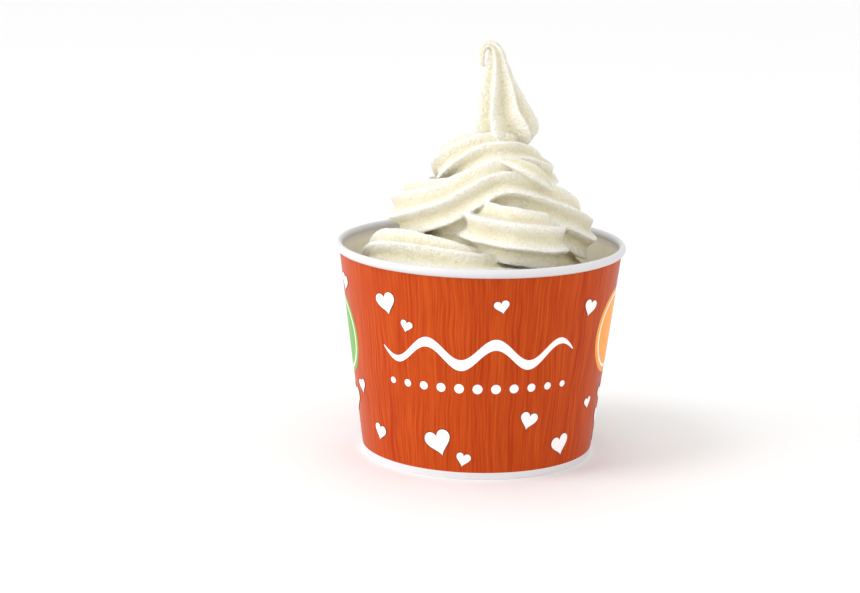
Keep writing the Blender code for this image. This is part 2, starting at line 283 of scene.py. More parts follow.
def make_print():
    """Orange-red ink on the board: wood grain in streaks 0.5 to 7 mm wide, under a satin coat."""
    material, tree, shader = new_material("printed board, orange-red wood grain")
    arc, rise = wall_places(tree)
    slow = add(tree, MATH, (rise, STREAK_STRETCH), operation="MULTIPLY")
    sway = add(tree, NOISE, {"Vector": add(tree, JOIN, (arc, rise)), "Scale": WAVE_SCALE, "Detail": 1.0})
    wave = add(tree, MATH, (sway, WAVE_REACH), operation="MULTIPLY")
    across = add(tree, MATH, (arc, wave), operation="ADD")
    sheet = add(tree, JOIN, (across, slow))
    coats = []
    for scale, detail, roughness, start, end, strength, code in STREAKS:
        streak = add(tree, NOISE, {"Vector": sheet, "Scale": scale, "Detail": detail,
                                   "Roughness": roughness})
        clear = add(tree, STRETCH, (streak, start, end))
        coats.append((add(tree, MATH, (clear, strength), operation="MULTIPLY"), code))
    fill(tree, shader, {"Base Color": paint(tree, "#A02E0A", coats), **PRINT_COAT})
    return material


def make_ink(name, code):
    """One flat printing ink under the same satin coat as the ground."""
    material, tree, shader = new_material(name)
    fill(tree, shader, {"Base Color": linear(code), **PRINT_COAT})
    return material


print_finish = make_print()
ink_white = make_ink("printing ink, white", "#F3EFF1")
ink_dark = make_ink("printing ink, warm grey", "#6A4A40")
ink_green = make_ink("printing ink, leaf green", "#6FA54A")
ink_amber = make_ink("printing ink, amber", "#F3A03C")
ink_lilac = make_ink("printing ink, lilac", "#B9A3C9")
print("middle radius of the wall, mm:", round(1000 * MIDDLE_RADIUS, 2))

# %% [markdown]
# ## The piped rope
# The machine pushes yogurt through a star nozzle, which leaves eight ridges along the rope. The server
# turns the cup underneath, so the rope lies down in a coil, and the ridges turn slowly round it. At the end
# the rope is pulled up into a peak, whose tip tears off and curls over. Here each middle line is a table of
# given stations, with smooth curves through them. Each row holds a place along the line, the middle
# point's x, y and z, and the radius out to the ridges.

# %% Stations of the middle lines
ROPE_STATIONS = (
    (0.55, 0.0370, 0.0120, 0.0580, 0.0120),
    (0.75, 0.0000, 0.0390, 0.0640, 0.0120),
    (0.92, -0.0340, 0.0150, 0.0690, 0.0120),
    (1.00, -0.0358, -0.0030, 0.0768, 0.0120),
    (1.10, -0.0295, -0.0200, 0.0812, 0.0120),
    (1.25, 0.0000, -0.0365, 0.0765, 0.0120),
    (1.50, 0.0335, -0.0020, 0.0660, 0.0115),
    (1.75, 0.0040, 0.0310, 0.0800, 0.0110),
    (1.88, -0.0178, 0.0190, 0.0948, 0.0116),
    (2.00, -0.0250, 0.0020, 0.0958, 0.0130),
    (2.12, -0.0122, -0.0160, 0.1003, 0.0123),
    (2.25, 0.0078, -0.0185, 0.1092, 0.0110),
    (2.38, 0.0272, -0.0120, 0.0980, 0.0115),
    (2.50, 0.0345, 0.0010, 0.0865, 0.0120),
    (2.62, 0.0270, 0.0170, 0.0880, 0.0113),
    (2.75, 0.0080, 0.0250, 0.0970, 0.0105),
    (3.00, -0.0098, 0.0020, 0.1135, 0.0112),
    (3.25, 0.0075, -0.0100, 0.1190, 0.0102),
    (3.50, 0.0206, 0.0010, 0.1086, 0.0101),
    (3.60, 0.0165, 0.0085, 0.1110, 0.0085),
    (3.72, 0.0085, 0.0070, 0.1150, 0.0040),
)
FOLD_STATIONS = (
    (0.00, 0.0040, 0.0000, 0.0860, 0.0100),
    (0.20, 0.0010, -0.0140, 0.0920, 0.0114),
    (0.38, 0.0040, -0.0270, 0.0935, 0.0122),
    (0.52, 0.0120, -0.0342, 0.0931, 0.0123),
    (0.66, 0.0203, -0.0318, 0.0906, 0.0123),
    (0.80, 0.0228, -0.0220, 0.0874, 0.0120),
    (1.00, 0.0200, -0.0050, 0.0830, 0.0100),
)
PEAK_STATIONS = (
    (0.00, 0.0090, 0.0000, 0.1200, 0.0070),
    (0.08, 0.0092, 0.0000, 0.1235, 0.0114),
    (0.12, 0.0091, 0.0000, 0.1252, 0.0136),
    (0.15, 0.0090, 0.0000, 0.1266, 0.0144),
    (0.20, 0.0087, 0.0000, 0.1295, 0.0144),
    (0.26, 0.0079, 0.0000, 0.1338, 0.0127),
    (0.35, 0.0070, 0.0000, 0.1382, 0.0109),
    (0.46, 0.0061, 0.0000, 0.1432, 0.0091),
    (0.58, 0.0054, 0.0000, 0.1482, 0.0073),
    (0.70, 0.0051, 0.0000, 0.1532, 0.0053),
    (0.80, 0.0046, 0.0000, 0.1577, 0.0039),
    (0.88, 0.0031, 0.0000, 0.1607, 0.0027),
    (0.93, 0.0009, -0.0004, 0.1611, 0.0020),
    (0.97, -0.0007, -0.0010, 0.1588, 0.0015),
    (1.00, -0.0010, -0.0013, 0.1558, 0.0013),
    (1.04, -0.0004, -0.0015, 0.1530, 0.0010),
)
LOBE_STATIONS = (
    (0.00, 0.0070, -0.0225, 0.1200, 0.0012),
    (0.30, 0.0140, -0.0245, 0.1180, 0.0030),
    (0.60, 0.0200, -0.0238, 0.1148, 0.0036),
    (0.85, 0.0243, -0.0205, 0.1108, 0.0028),
    (1.00, 0.0268, -0.0165, 0.1075, 0.0011),
)
print("stations of the rope:", len(ROPE_STATIONS), "and of the peak:", len(PEAK_STATIONS))

# %% Smooth curves through the stations
FINE_SAMPLES = 4000


def smooth_values(stations, places):
    """Read a table of stations at the given places along smooth curves through them."""
    table = np.array(stations)
    keys, values = table[:, 0], table[:, 1:]
    slopes = np.zeros_like(values)
    slopes[1:-1] = (values[2:] - values[:-2]) / (keys[2:] - keys[:-2])[:, None]
    slopes[0] = (values[1] - values[0]) / (keys[1] - keys[0])
    slopes[-1] = (values[-1] - values[-2]) / (keys[-1] - keys[-2])
    index = np.clip(np.searchsorted(keys, places, side="right") - 1, 0, len(keys) - 2)
    span = (keys[index + 1] - keys[index])[:, None]
    part = (places - keys[index])[:, None] / span
    start = (2 * part**3 - 3 * part**2 + 1) * values[index]
    start_slope = (part**3 - 2 * part**2 + part) * span * slopes[index]
    end = (3 * part**2 - 2 * part**3) * values[index + 1]
    end_slope = (part**3 - part**2) * span * slopes[index + 1]
    return start + start_slope + end + end_slope


def even_places(stations, step):
    """Places along a table of stations that lie an even distance apart on its middle line."""
    fine = np.linspace(stations[0][0], stations[-1][0], FINE_SAMPLES)
    gaps = np.linalg.norm(np.diff(smooth_values(stations, fine)[:, :3], axis=0), axis=1)
    length = np.concatenate(([0.0], np.cumsum(gaps)))
    return np.interp(np.linspace(0.0, length[-1], round(length[-1] / step) + 1), length, fine)


def unit(vectors):
    """Each vector at length one."""
    return vectors / np.linalg.norm(vectors, axis=1)[:, None]


# %% [markdown]
# The ridges turn as they go along: the nozzle stands still while the cup turns under it. So each line also
# holds how far its star is turned at some places, and which way the star's first ridge points.

# %% Middle lines
ROPE_TURNS = (0.55, 2.00, 2.36, 2.50, 2.92, 3.20, 3.35, 3.50, 3.72)
ROPE_PHASES = [math.radians(angle) for angle in (-322, 30, 110, 128, 242, 354, 386, 402, 455)]
PEAK_PLACES = (0.0, 0.12, 0.15, 0.21, 0.29, 0.42, 0.58, 1.0)
PEAK_PHASES = [math.radians(angle) for angle in (-8, -10, -13, -20, -25, -19, -11, -12)]
FOLD_PHASE = math.radians(34)
LOBE_TWIST = 0.6
RING_STEP = 0.0010
PEAK_RING_STEP = 0.7 * RING_STEP
LEAST_BEND = 1e-6


def away_from_axis(along):
    """Level directions away from the coil's axis."""
    return np.cross(along, (0.0, 0.0, 1.0))


def to_the_front(along):
    """Directions to the front, square to the peak's middle line."""
    front = np.array((0.0, -1.0, 0.0))
    return front - along * (along @ front)[:, None]


def spine(name, stations, step, across, tilt):
    """An object that carries one middle line, with the rope's size, turn and bend at each point."""
    places = even_places(stations, step)
    values = smooth_values(stations, places)
    middle = values[:, :3]
    along = unit(np.gradient(middle, axis=0))
    bend = np.gradient(along, axis=0) / np.linalg.norm(np.gradient(middle, axis=0), axis=1)[:, None]
    links = [(i, i + 1) for i in range(len(middle) - 1)]
    print(name, "points along the middle line:", len(middle))
    return new_object(name, middle, links, width=values[:, 3], across=unit(across(along)),
                      turn=tilt(places), bend=bend + LEAST_BEND)


spines = {
    "rope": spine("rope", ROPE_STATIONS, RING_STEP, away_from_axis,
                  lambda places: -np.interp(places, ROPE_TURNS, ROPE_PHASES)),
    "fold": spine("fold", FOLD_STATIONS, RING_STEP, away_from_axis,
                  lambda places: np.full(len(places), -FOLD_PHASE)),
    "lobe": spine("lobe", LOBE_STATIONS, RING_STEP, away_from_axis, lambda places: LOBE_TWIST * places),
    "peak": spine("peak", PEAK_STATIONS, PEAK_RING_STEP, to_the_front,
                  lambda places: np.interp(places, PEAK_PLACES, PEAK_PHASES)),
}

# %% [markdown]
# The star outline is made from a circle: a rounded ridge at every eighth of a turn, with a round valley
# between. The peak is pulled thin, so only six ridges show on it, and its valleys are deeper. The radius is
# worked out from each point's number, so the ridges stay in step along the whole line.

# %% Star outline


def star_outline(tree, given):
    """A circle of radius one pressed into ridges, with a crest value of 0 in a valley and 1 on a ridge."""
    circle = add(tree, "GeometryNodeCurvePrimitiveCircle",
                 {"Resolution": given["Points Round"], "Radius": 1.0})
    index = add(tree, "GeometryNodeInputIndex")
    ridge_steps = add(tree, MATH, (index, given["Ridges"]), operation="MULTIPLY")
    ridge = add(tree, MATH, (ridge_steps, given["Points Round"]), operation="DIVIDE")
    part = add(tree, MATH, (ridge,), operation="FRACT")
    double = add(tree, MATH, (part, 2.0), operation="MULTIPLY")
    signed = add(tree, MATH, (double, 1.0), operation="SUBTRACT")
    rise = add(tree, MATH, (signed,), operation="ABSOLUTE")
    away = add(tree, MATH, (1.0, rise), operation="SUBTRACT")
    soft = add(tree, MATH, (given["Softness"], given["Softness"]), operation="MULTIPLY")
    whole = add(tree, MATH, (soft, 1.0), operation="ADD")
    top = add(tree, MATH, (whole,), operation="SQRT")
    squared = add(tree, MATH, (away, away, soft), operation="MULTIPLY_ADD")
    rounded = add(tree, MATH, (squared,), operation="SQRT")
    height = add(tree, MATH, (top, rounded), operation="SUBTRACT")
    positive = add(tree, MATH, (height, 0.0), operation="MAXIMUM")
    crest = add(tree, MATH, (positive, given["Power"]), operation="POWER")
    depth = add(tree, MATH, (1.0, given["Valley"]), operation="SUBTRACT")
    radius = add(tree, MATH, (depth, crest, given["Valley"]), operation="MULTIPLY_ADD")
    place = add(tree, VECTOR, {0: add(tree, PLACE), 3: radius}, operation="SCALE")
    star = add(tree, MOVE, {"Geometry": circle, "Position": place})
    return add(tree, STORE, {"Geometry": star, "Name": "crest", "Value": crest}, data_type="FLOAT")


# %% [markdown]
# The star is swept along the middle line at the station's size and turn, which keeps every ridge unbroken,
# as the nozzle does. On the inside of a tight bend the soft rope is squeezed short of the bend's centre, so
# it never folds through itself.

# %% Sweep the star outline
STARS = {"rope": (8, 0.70), "fold": (8, 0.70), "lobe": (3, 0.70), "peak": (6, 0.55)}
POINTS_PER_RIDGE = 12
RIDGE_SOFTNESS = 0.10
RIDGE_POWER = 1.7
BEND_SHARE = 0.70


def rope_tree():
    """The tree that sweeps a star outline along a middle line."""
    tree, given = new_tree("Piped rope", Points_Round="Int", Ridges="Int", Valley="Float",
                           Softness="Float", Power="Float", Bend_Share="Float", Material="Material")
    place = add(tree, PLACE)
    across, middle, bend = [add(tree, ATTRIBUTE, {"Name": name}, data_type="FLOAT_VECTOR")
                            for name in ("across", "middle", "bend")]
    turn, width = [add(tree, ATTRIBUTE, {"Name": name}, data_type="FLOAT") for name in ("turn", "width")]
    line = add(tree, "GeometryNodeMeshToCurve", {"Mesh": given["Geometry"]})
    line = add(tree, "GeometryNodeSetCurveNormal", {"Curve": line, "Normal": across}, mode="FREE")
    line = add(tree, "GeometryNodeSetCurveTilt", {"Curve": line, "Tilt": turn})
    line = add(tree, STORE, {"Geometry": line, "Name": "middle", "Value": place}, data_type="FLOAT_VECTOR")
    swept = add(tree, "GeometryNodeCurveToMesh", {"Curve": line, "Profile Curve": star_outline(tree, given),
                                                  "Scale": width, "Fill Caps": True})
    spoke = add(tree, VECTOR, (place, middle), operation="SUBTRACT")
    inward = add(tree, VECTOR, (bend,), operation="NORMALIZE")
    tightness = add(tree, VECTOR, (bend,), operation="LENGTH").outputs["Value"]
    limit = add(tree, MATH, (given["Bend Share"], tightness), operation="DIVIDE")
    reach = add(tree, VECTOR, (spoke, inward), operation="DOT_PRODUCT").outputs["Value"]
    past = add(tree, MATH, (reach, limit), operation="SUBTRACT")
    over = add(tree, MATH, (past, 0.0), operation="MAXIMUM")
    back = add(tree, VECTOR, {0: inward, 3: over}, operation="SCALE")
    squeezed = add(tree, VECTOR, (place, back), operation="SUBTRACT")
    shaped = add(tree, MOVE, {"Geometry": swept, "Position": squeezed})
    return close_tree(tree, shaped, given["Material"])


sweep = rope_tree()
for name, obj in spines.items():
    ridges, valley = STARS[name]
    grow(obj, sweep, Points_Round=POINTS_PER_RIDGE * ridges, Ridges=ridges, Valley=valley,
         Softness=RIDGE_SOFTNESS, Power=RIDGE_POWER, Bend_Share=BEND_SHARE, Material=yogurt_finish)

# %% [markdown]
# ## Turned shapes
# The filling, the board, the print ground and the bottom disc are all turned round the cup's axis. One tree
# spins an outline of radius and height. Paper cups are wound from a flat blank, so round is their true form.

# %% Spin an outline
MERGE_DISTANCE = 1e-6


def turned_tree():
    """The tree that spins an outline round the cup's axis; above a height it can lean to the right."""
    tree, given = new_tree("Turned round the axis", Outline_Points="Int", Segments="Int",
                           Lean_Start="Float", Lean="Float", Material="Material")
    columns = add(tree, MATH, (given["Segments"], 1.0), operation="ADD")
    grid = add(tree, "GeometryNodeMeshGrid", {"Size X": 1.0, "Size Y": 1.0,
                                              "Vertices X": given["Outline Points"], "Vertices Y": columns})
    index = add(tree, "GeometryNodeInputIndex")
    past_half = add(tree, MATH, (index, 0.5), operation="ADD")
    rows = add(tree, MATH, (past_half, columns), operation="DIVIDE")
    row = add(tree, MATH, (rows,), operation="FLOOR")
    before = add(tree, MATH, (row, columns), operation="MULTIPLY")
    column = add(tree, MATH, (index, before), operation="SUBTRACT")
    point = add(tree, "GeometryNodeSampleIndex",
                {"Geometry": given["Geometry"], "Value": add(tree, PLACE), "Index": row},
                data_type="FLOAT_VECTOR")
    radius, _, height = add(tree, SPLIT, (point,)).outputs
    part = add(tree, MATH, (column, given["Segments"]), operation="DIVIDE")
    angle = add(tree, MATH, (part, math.tau), operation="MULTIPLY")
    cosine = add(tree, MATH, (angle,), operation="COSINE")
    sine = add(tree, MATH, (angle,), operation="SINE")
    past = add(tree, MATH, (height, given["Lean Start"]), operation="SUBTRACT")
    over = add(tree, MATH, (past, 0.0), operation="MAXIMUM")
    upright = add(tree, MATH, (radius, cosine), operation="MULTIPLY")
    x = add(tree, MATH, (over, given["Lean"], upright), operation="MULTIPLY_ADD")
    y = add(tree, MATH, (radius, sine), operation="MULTIPLY")
    spun = add(tree, MOVE, {"Geometry": grid, "Position": add(tree, JOIN, (x, y, height))})
    merged = add(tree, "GeometryNodeMergeByDistance", {"Geometry": spun, "Distance": MERGE_DISTANCE})
    return close_tree(tree, merged, given["Material"])


turning = turned_tree()

# %% Finish a turned shape
SHARP_ANGLE = math.radians(40)
THINNEST_EDGE = 1e-7
NO_LEAN = 1.0


def turned(name, outline, material, segments, lean_start=NO_LEAN, lean=0.0):
    """Spin an outline of (radius, height) points into an object whose faces point outwards."""
    obj = new_object(name, [(radius, 0.0, height) for radius, height in outline])
    grow(obj, turning, Outline_Points=len(outline), Segments=segments, Lean_Start=lean_start, Lean=lean,
         Material=material)
    bm = bmesh.new()
    bm.from_mesh(obj.data)
    bmesh.ops.dissolve_degenerate(bm, edges=bm.edges, dist=THINNEST_EDGE)
    bmesh.ops.recalc_face_normals(bm, faces=bm.faces)
    bm.to_mesh(obj.data)
    bm.free()
    obj.data.shade_smooth()
    obj.data.set_sharp_from_angle(angle=SHARP_ANGLE)
    return obj


# %% [markdown]
# ## One body of yogurt
# The cup is full under the swirl, so a plain turned filling reaches up inside the coils. The coils press
# into each other and into the filling while they are soft, and freeze as one body. The pieces are joined and
# skinned as one closed surface, which rounds each crease a little as real yogurt does.

# %% Filling
FILL_OUTLINE = (
    (0.0, 0.0083), (0.0447, 0.0083), (0.0519, 0.0620), (0.0519, 0.0660), (0.0470, 0.0700),
    (0.0360, 0.0780), (0.0300, 0.0860), (0.0220, 0.0930), (0.0120, 0.1040), (0.0105, 0.1150),
    (0.0060, 0.1240), (0.0, 0.1240),
)
FILL_SEGMENTS = 128
FILL_LEAN_START = 0.0760
FILL_LEAN = 0.20
filling = turned("filling", FILL_OUTLINE, yogurt_finish, FILL_SEGMENTS, FILL_LEAN_START, FILL_LEAN)

# %% Join and skin
VOXEL = 0.0004
SOFTEN_SHARE = 0.35


def joined(name, parts):
    """Join several objects' meshes into one new object and drop the old ones."""
    bm = bmesh.new()
    for part in parts:
        bm.from_mesh(part.data)
    bmesh.ops.recalc_face_normals(bm, faces=bm.faces)
    mesh = bpy.data.meshes.new(name)
    bm.to_mesh(mesh)
    bm.free()
    mesh.materials.append(parts[0].data.materials[0])
    for part in parts:
        bpy.data.objects.remove(part)
    obj = bpy.data.objects.new(name, mesh)
    bpy.context.scene.collection.objects.link(obj)
    return obj


def apply_modifiers(obj):
    """Turn an object's modifiers into its plain mesh."""
    evaluated = obj.evaluated_get(bpy.context.evaluated_depsgraph_get())
    mesh = bpy.data.meshes.new_from_object(evaluated)
    obj.modifiers.clear()
    obj.data = mesh
    mesh.name = obj.name


yogurt = joined("frozen_yogurt", [*spines.values(), filling])
skin = yogurt.modifiers.new("Skin", "REMESH")
skin.mode = "VOXEL"
skin.voxel_size = VOXEL
soften = yogurt.modifiers.new("Soften", "SMOOTH")
soften.iterations = 1
soften.factor = SOFTEN_SHARE
piped = bpy.data.objects.new("piped_source", yogurt.data.copy())
apply_modifiers(yogurt)
print("skinned faces:", len(yogurt.data.polygons))

# %% [markdown]
# Where ropes meet, the skin can close round small hollows inside the body. Nobody sees them, so only the
# outer shell is kept. It is then thinned where it is nearly flat, which leaves the ridges as they are.

# %% Keep the outer shell and thin it out
MOST_TRIANGLES = 180000


def keep_largest(obj):
    """Drop sealed hollows and scraps: only the largest shell stays."""
    bm = bmesh.new()
    bm.from_mesh(obj.data)
    unseen = set(bm.verts)
    shells = []
    while unseen:
        stack = [unseen.pop()]
        shell = list(stack)
        while stack:
            for edge in stack.pop().link_edges:
                for vert in edge.verts:
                    if vert in unseen:
                        unseen.remove(vert)
                        stack.append(vert)
                        shell.append(vert)
        shells.append(shell)
    shells.sort(key=len)
    for shell in shells[:-1]:
        bmesh.ops.delete(bm, geom=shell, context="VERTS")
    bm.to_mesh(obj.data)
    bm.free()
    return len(shells)


print("shells found:", keep_largest(yogurt))
thin = yogurt.modifiers.new("Thin out", "DECIMATE")
thin.ratio = min(1.0, MOST_TRIANGLES / (2 * len(yogurt.data.polygons)))
apply_modifiers(yogurt)
yogurt.data.shade_smooth()
print("faces after thinning:", len(yogurt.data.polygons))

# %% [markdown]
# Ice crystals and small air bubbles leave the surface a little uneven. A geometry tree pushes it in and out
# by up to half a millimetre over soft swells 7 mm apart, and by less over grains of 1 mm. Deep in the cup
# the yogurt lies hidden against the paper, so the push only fades in near the top.

# %% Icy surface
SURFACE_FADE = 0.004


def icy_tree():
    """The tree that makes a skinned surface uneven, with a long soft wander and a short sharp one.

    It also reads from the piped shape how near each point lies to the crest of a ridge.
    """
    tree, given = new_tree("Icy surface", Piped="Object", Long_Scale="Float", Long_Depth="Float",
                           Short_Scale="Float", Short_Depth="Float", Start_Height="Float",
                           Material="Material")
    source = add(tree, "GeometryNodeObjectInfo", {"Object": given["Piped"]}).outputs["Geometry"]
    crest = add(tree, ATTRIBUTE, {"Name": "crest"}, data_type="FLOAT")
    nearest = add(tree, "GeometryNodeSampleNearestSurface", {"Mesh": source, "Value": crest},
                  data_type="FLOAT")
    marked = add(tree, STORE, {"Geometry": given["Geometry"], "Name": "crest", "Value": nearest},
                 data_type="FLOAT")
    place = add(tree, PLACE)
    height = add(tree, SPLIT, (place,)).outputs[2]
    full_height = add(tree, MATH, (given["Start Height"], SURFACE_FADE), operation="ADD")
    shown = add(tree, STRETCH, (height, given["Start Height"], full_height))
    swells = add(tree, NOISE, {"Vector": place, "Scale": given["Long Scale"]})
    grains = add(tree, NOISE, {"Vector": place, "Scale": given["Short Scale"], "Detail": 3.0,
                               "Roughness": 0.6})
    pushes = []
    for pattern, depth in ((swells, given["Long Depth"]), (grains, given["Short Depth"])):
        centred = add(tree, MATH, (pattern, 0.5), operation="SUBTRACT")
        pushes.append(add(tree, MATH, (centred, depth), operation="MULTIPLY"))
    push = add(tree, MATH, pushes, operation="ADD")
    faded = add(tree, MATH, (push, shown), operation="MULTIPLY")
    offset = add(tree, VECTOR, {0: add(tree, "GeometryNodeInputNormal"), 3: faded}, operation="SCALE")
    moved = add(tree, MOVE, {"Geometry": marked, "Offset": offset})
    return close_tree(tree, moved, given["Material"])


bpy.context.scene.collection.objects.link(piped)
grow(yogurt, icy_tree(), Piped=piped, Long_Scale=140.0, Long_Depth=0.0010, Short_Scale=900.0,
     Short_Depth=0.0004, Start_Height=0.060, Material=yogurt_finish)
bpy.data.objects.remove(piped)
yogurt.data.shade_smooth()

# %% [markdown]
# ## The paper cup
# The board is 0.6 mm thick. At the rim its edge is curled outwards into a roll of most of a turn, which
# stiffens the mouth and is kind to the lip. At the foot it is folded in and up round the skirt of the bottom
# disc. Both are drawn in section, as a drawing of the cup cut in half would show them, and then spun.

# %% Curled rim
PAPER = 0.0006
RIM_RADIUS = 0.0570
CUP_HEIGHT = 0.0843
ROLL_WIDTH = 0.0026
ROLL_HEIGHT = 0.0033
ROLL_PAPER = 0.0005
ROLL_START = 210
ROLL_TURN = 300
ROLL_STEPS = 40


def roll_outline():
    """Both faces of the curled board at the rim, from the wall's outside round to its inside."""
    outside, inside = [], []
    for step in range(ROLL_STEPS + 1):
        angle = math.radians(ROLL_START - ROLL_TURN * step / ROLL_STEPS)
        for face, inset in ((outside, 0.0), (inside, ROLL_PAPER)):
            face.append((RIM_RADIUS - ROLL_WIDTH / 2 + (ROLL_WIDTH / 2 - inset) * math.cos(angle),
                         CUP_HEIGHT - ROLL_HEIGHT / 2 + (ROLL_HEIGHT / 2 - inset) * math.sin(angle)))
    return inside + outside[::-1]


print("points round the rim's roll:", len(roll_outline()))

# %% Wall and foot
SKIRT_PAPER = 0.0005
HEM_PAPER = 0.0005
FIT_GAP = 0.0003
HEM_HEIGHT = 0.0064
FOOT_CHAMFER = 0.00025
BOARD_SEGMENTS = 256


def wall_outer(height):
    """Outer radius of the cup's wall at a height."""
    return FOOT_RADIUS + WALL_SLOPE * height


def board_outline():
    """The cup board in section: wall, curled rim, and the hem in the foot."""
    hem_face = PAPER + SKIRT_PAPER + 2 * FIT_GAP
    hem_back = hem_face + HEM_PAPER
    outline = [(wall_outer(WALL_TOP_HEIGHT), WALL_TOP_HEIGHT), *roll_outline(),
               (wall_outer(WALL_TOP_HEIGHT) - PAPER, WALL_TOP_HEIGHT), (wall_outer(PAPER) - PAPER, PAPER),
               (wall_outer(PAPER) - hem_face, PAPER), (wall_outer(HEM_HEIGHT) - hem_face, HEM_HEIGHT),
               (wall_outer(HEM_HEIGHT) - hem_back, HEM_HEIGHT), (FOOT_RADIUS - hem_back, FOOT_CHAMFER),
               (FOOT_RADIUS - hem_back + FOOT_CHAMFER, 0.0), (FOOT_RADIUS - FOOT_CHAMFER, 0.0),
               (FOOT_RADIUS, FOOT_CHAMFER)]
    return outline + outline[:1]


board = turned("cup_board", board_outline(), board_finish, BOARD_SEGMENTS)

# %% Print ground
PRINT_BOTTOM = 0.0029
PRINT_TOP = 0.0808
INK = 0.00004


def ground_outline():
    """The printed ground: a film of ink on the outside of the wall, sunk a little into the board."""
    outline = [(wall_outer(PRINT_BOTTOM) + INK, PRINT_BOTTOM), (wall_outer(PRINT_TOP) + INK, PRINT_TOP),
               (wall_outer(PRINT_TOP) - INK, PRINT_TOP), (wall_outer(PRINT_BOTTOM) - INK, PRINT_BOTTOM)]
    return outline + outline[:1]


ground = turned("print_ground", ground_outline(), print_finish, BOARD_SEGMENTS)

# %% Bottom disc
BOTTOM_HEIGHT = 0.0080
SKIRT_BEND = 0.0007
SKIRT_END_HEIGHT = 0.0010
BOTTOM_SEGMENTS = 192


def bottom_outline():
    """The bottom disc in section, with its skirt in the fold of the foot."""
    face = PAPER + FIT_GAP
    under = BOTTOM_HEIGHT - PAPER
    return [(0.0, BOTTOM_HEIGHT), (wall_outer(BOTTOM_HEIGHT) - face - SKIRT_BEND, BOTTOM_HEIGHT),
            (wall_outer(BOTTOM_HEIGHT - SKIRT_BEND) - face, BOTTOM_HEIGHT - SKIRT_BEND),
            (wall_outer(SKIRT_END_HEIGHT) - face, SKIRT_END_HEIGHT),
            (wall_outer(SKIRT_END_HEIGHT) - face - SKIRT_PAPER, SKIRT_END_HEIGHT),
            (wall_outer(under) - face - SKIRT_PAPER, under), (0.0, under)]


bottom = turned("cup_bottom", bottom_outline(), board_finish, BOTTOM_SEGMENTS)

# %% [markdown]
# ## The print
# Cups are printed flat, then wound. So each motif is drawn flat, about one unit wide, its layout gives its
# size in millimetres, and one tree sets the motifs out and wraps them round the cone. The design is a plain
# one: hearts, discs, a wave line and dots.

# %% Flat slabs


def slab(name, outline, rings=4):
    """A flat motif as a closed slab: rings of points from its middle out to its outline, top and bottom."""
    count = len(outline)
    points, faces = [], []
    for level in (1.0, 0.0):
        first = len(points)
        points.append((0.0, 0.0, level))
        for ring in range(1, rings + 1):
            points += [(x * ring / rings, y * ring / rings, level) for x, y in outline]
        for i in range(count):
            k = (i + 1) % count
            fan = [first, first + 1 + i, first + 1 + k]
            faces.append(fan if level else fan[::-1])
            for ring in range(rings - 1):
                a = first + 1 + ring * count
                quad = [a + i, a + count + i, a + count + k, a + k]
                faces.append(quad if level else quad[::-1])
    top = 1 + (rings - 1) * count
    under = top + 1 + rings * count
    for i in range(count):
        k = (i + 1) % count
        faces.append([top + i, under + i, under + k, top + k])
    return new_object(name, points, faces=faces)


# %% Motifs
BORDER_WIDTH = 0.026
DISC_RADIUS = 0.5
RING_RADIUS = 0.44
RING_HOLE_RADIUS = 0.41
DISC_RINGS = 8


def heart_outline(grow_by=0.0, points=40):
    """A plain heart about one unit wide, point down; it can be grown by a share for a border."""
    outline = []
    for i in range(points):
        t = math.tau * i / points
        x = 0.50 * math.sin(t) ** 3
        y = 0.42 * math.cos(t) - 0.165 * math.cos(2 * t) - 0.065 * math.cos(3 * t) - 0.03 * math.cos(4 * t)
        size = math.hypot(x, y)
        outline.append((x * (1 + grow_by / size), y * (1 + grow_by / size)))
    return outline[::-1]


def disc_outline(radius, points=64):
    """A plain disc; at a radius of a half it is one unit across."""
    return [(radius * math.cos(math.tau * i / points), radius * math.sin(math.tau * i / points))
            for i in range(points)]


motifs = {
    "heart": slab("heart motif", heart_outline()),
    "heart_border": slab("heart border motif", heart_outline(BORDER_WIDTH)),
    "disc": slab("disc motif", disc_outline(DISC_RADIUS), DISC_RINGS),
    "ring": slab("ring motif", disc_outline(RING_RADIUS), DISC_RINGS),
    "disc_middle": slab("disc middle motif", disc_outline(RING_HOLE_RADIUS), DISC_RINGS),
}
print("motifs:", list(motifs))

# %% [markdown]
# A layout point says where on the flat sheet a motif goes. Its place round the cup, divided by the wall's
# middle radius, gives the angle, and its height gives the cone's radius. Each ink layer lies a hair further
# out than the one below it, so no two of them share a surface.

# %% Wrap the print round the cone


